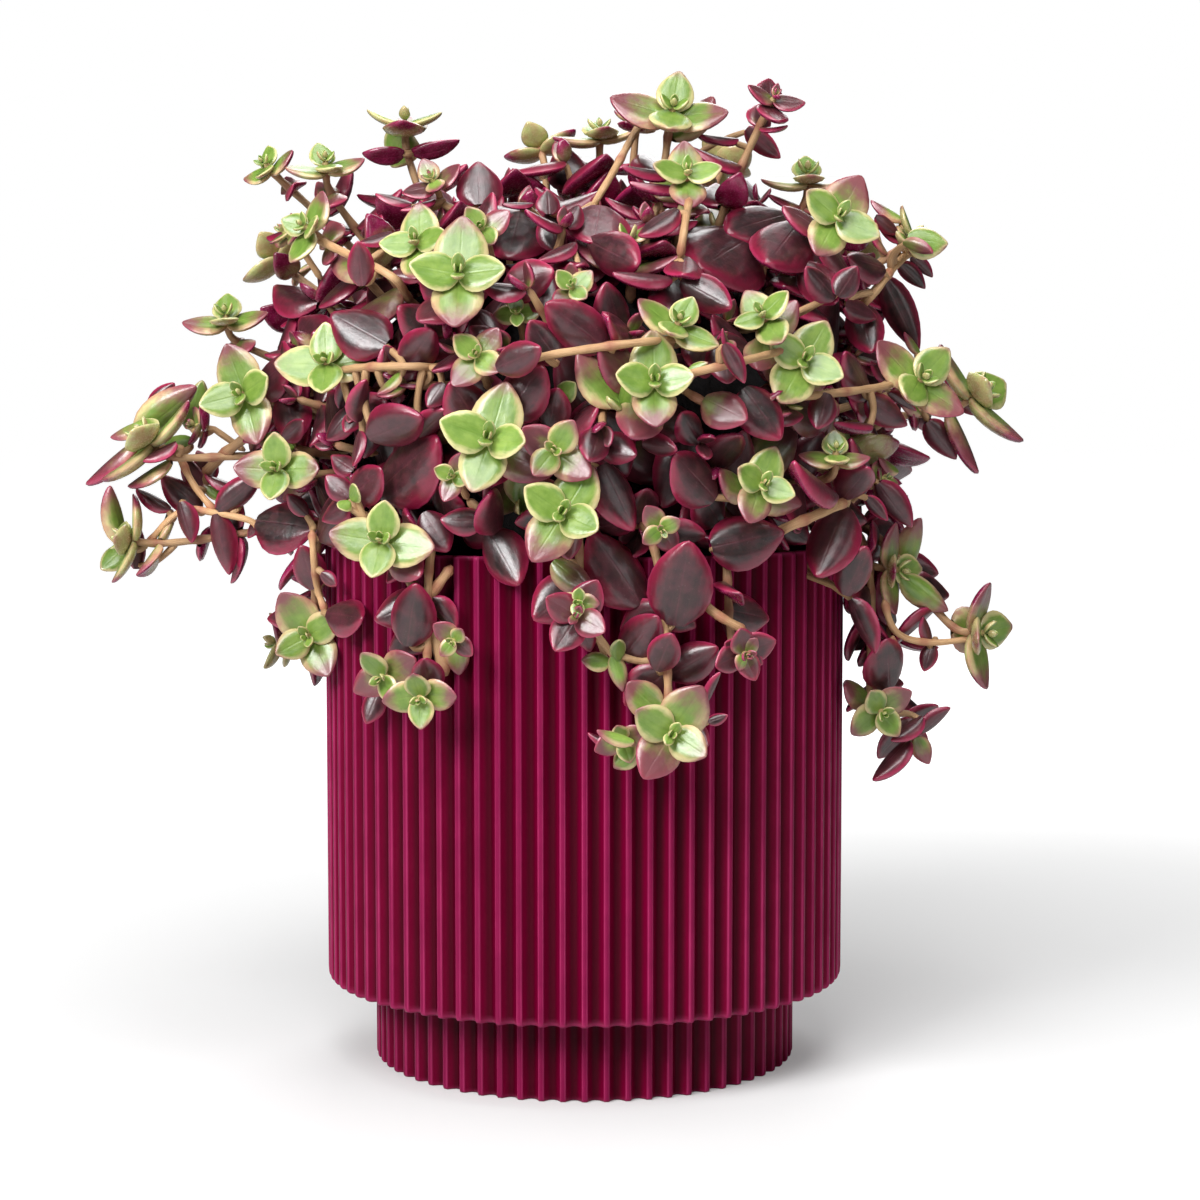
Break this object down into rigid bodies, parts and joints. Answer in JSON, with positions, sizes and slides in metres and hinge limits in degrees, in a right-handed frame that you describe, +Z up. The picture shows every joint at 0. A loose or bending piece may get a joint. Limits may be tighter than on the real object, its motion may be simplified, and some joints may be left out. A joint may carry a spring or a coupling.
{
  "type": "potted crassula marginalis",
  "caption": "Potted creeping succulent: a mound of pointed leaves in opposite pairs, dark purple with green tips, on thin stems that trail over the rim of a fluted round pot.",
  "frame": {"origin": "centre of the pot's flat underside", "axes": "+Z up along the pot's axis, +X to the right and -Y towards the viewer, as in the picture"},
  "size_m": [0.2342, 0.18, 0.2537],
  "materials": {
    "glaze": "satin",
    "soil": "matte",
    "purple": "satin",
    "green": "satin"
  },
  "bodies": {
    "root": {"pot": "glaze", "soil": "soil", "plantlet_1": "purple", "plantlet_2": "purple", "plantlet_3": "purple", "plantlet_4": "purple", "plantlet_5": "purple", "plantlet_6": "purple", "plantlet_7": "purple", "plantlet_8": "purple", "plantlet_9": "purple", "rosette_01": "green", "rosette_02": "green", "rosette_03": "green", "rosette_04": "green", "rosette_05": "green", "rosette_06": "green", "rosette_07": "green", "rosette_08": "green", "rosette_09": "green", "rosette_10": "green", "rosette_11": "green", "rosette_12": "green", "rosette_13": "green", "rosette_14": "green", "rosette_15": "green", "rosette_16": "green", "rosette_17": "green", "rosette_18": "green", "rosette_19": "green", "rosette_20": "green", "rosette_21": "green", "rosette_22": "green", "rosette_23": "green", "rosette_24": "green", "rosette_25": "green", "rosette_26": "green", "rosette_27": "green", "rosette_28": "green", "rosette_29": "green", "rosette_30": "green", "rosette_31": "green", "rosette_32": "green", "rosette_33": "green", "rosette_34": "green", "rosette_35": "green", "rosette_36": "green", "rosette_37": "green", "rosette_38": "green", "rosette_39": "green", "rosette_40": "green", "rosette_41": "green", "rosette_42": "green", "rosette_43": "green", "rosette_44": "green", "rosette_45": "green", "rosette_46": "green", "rosette_47": "green", "rosette_48": "green"}
  },
  "joints": []
}
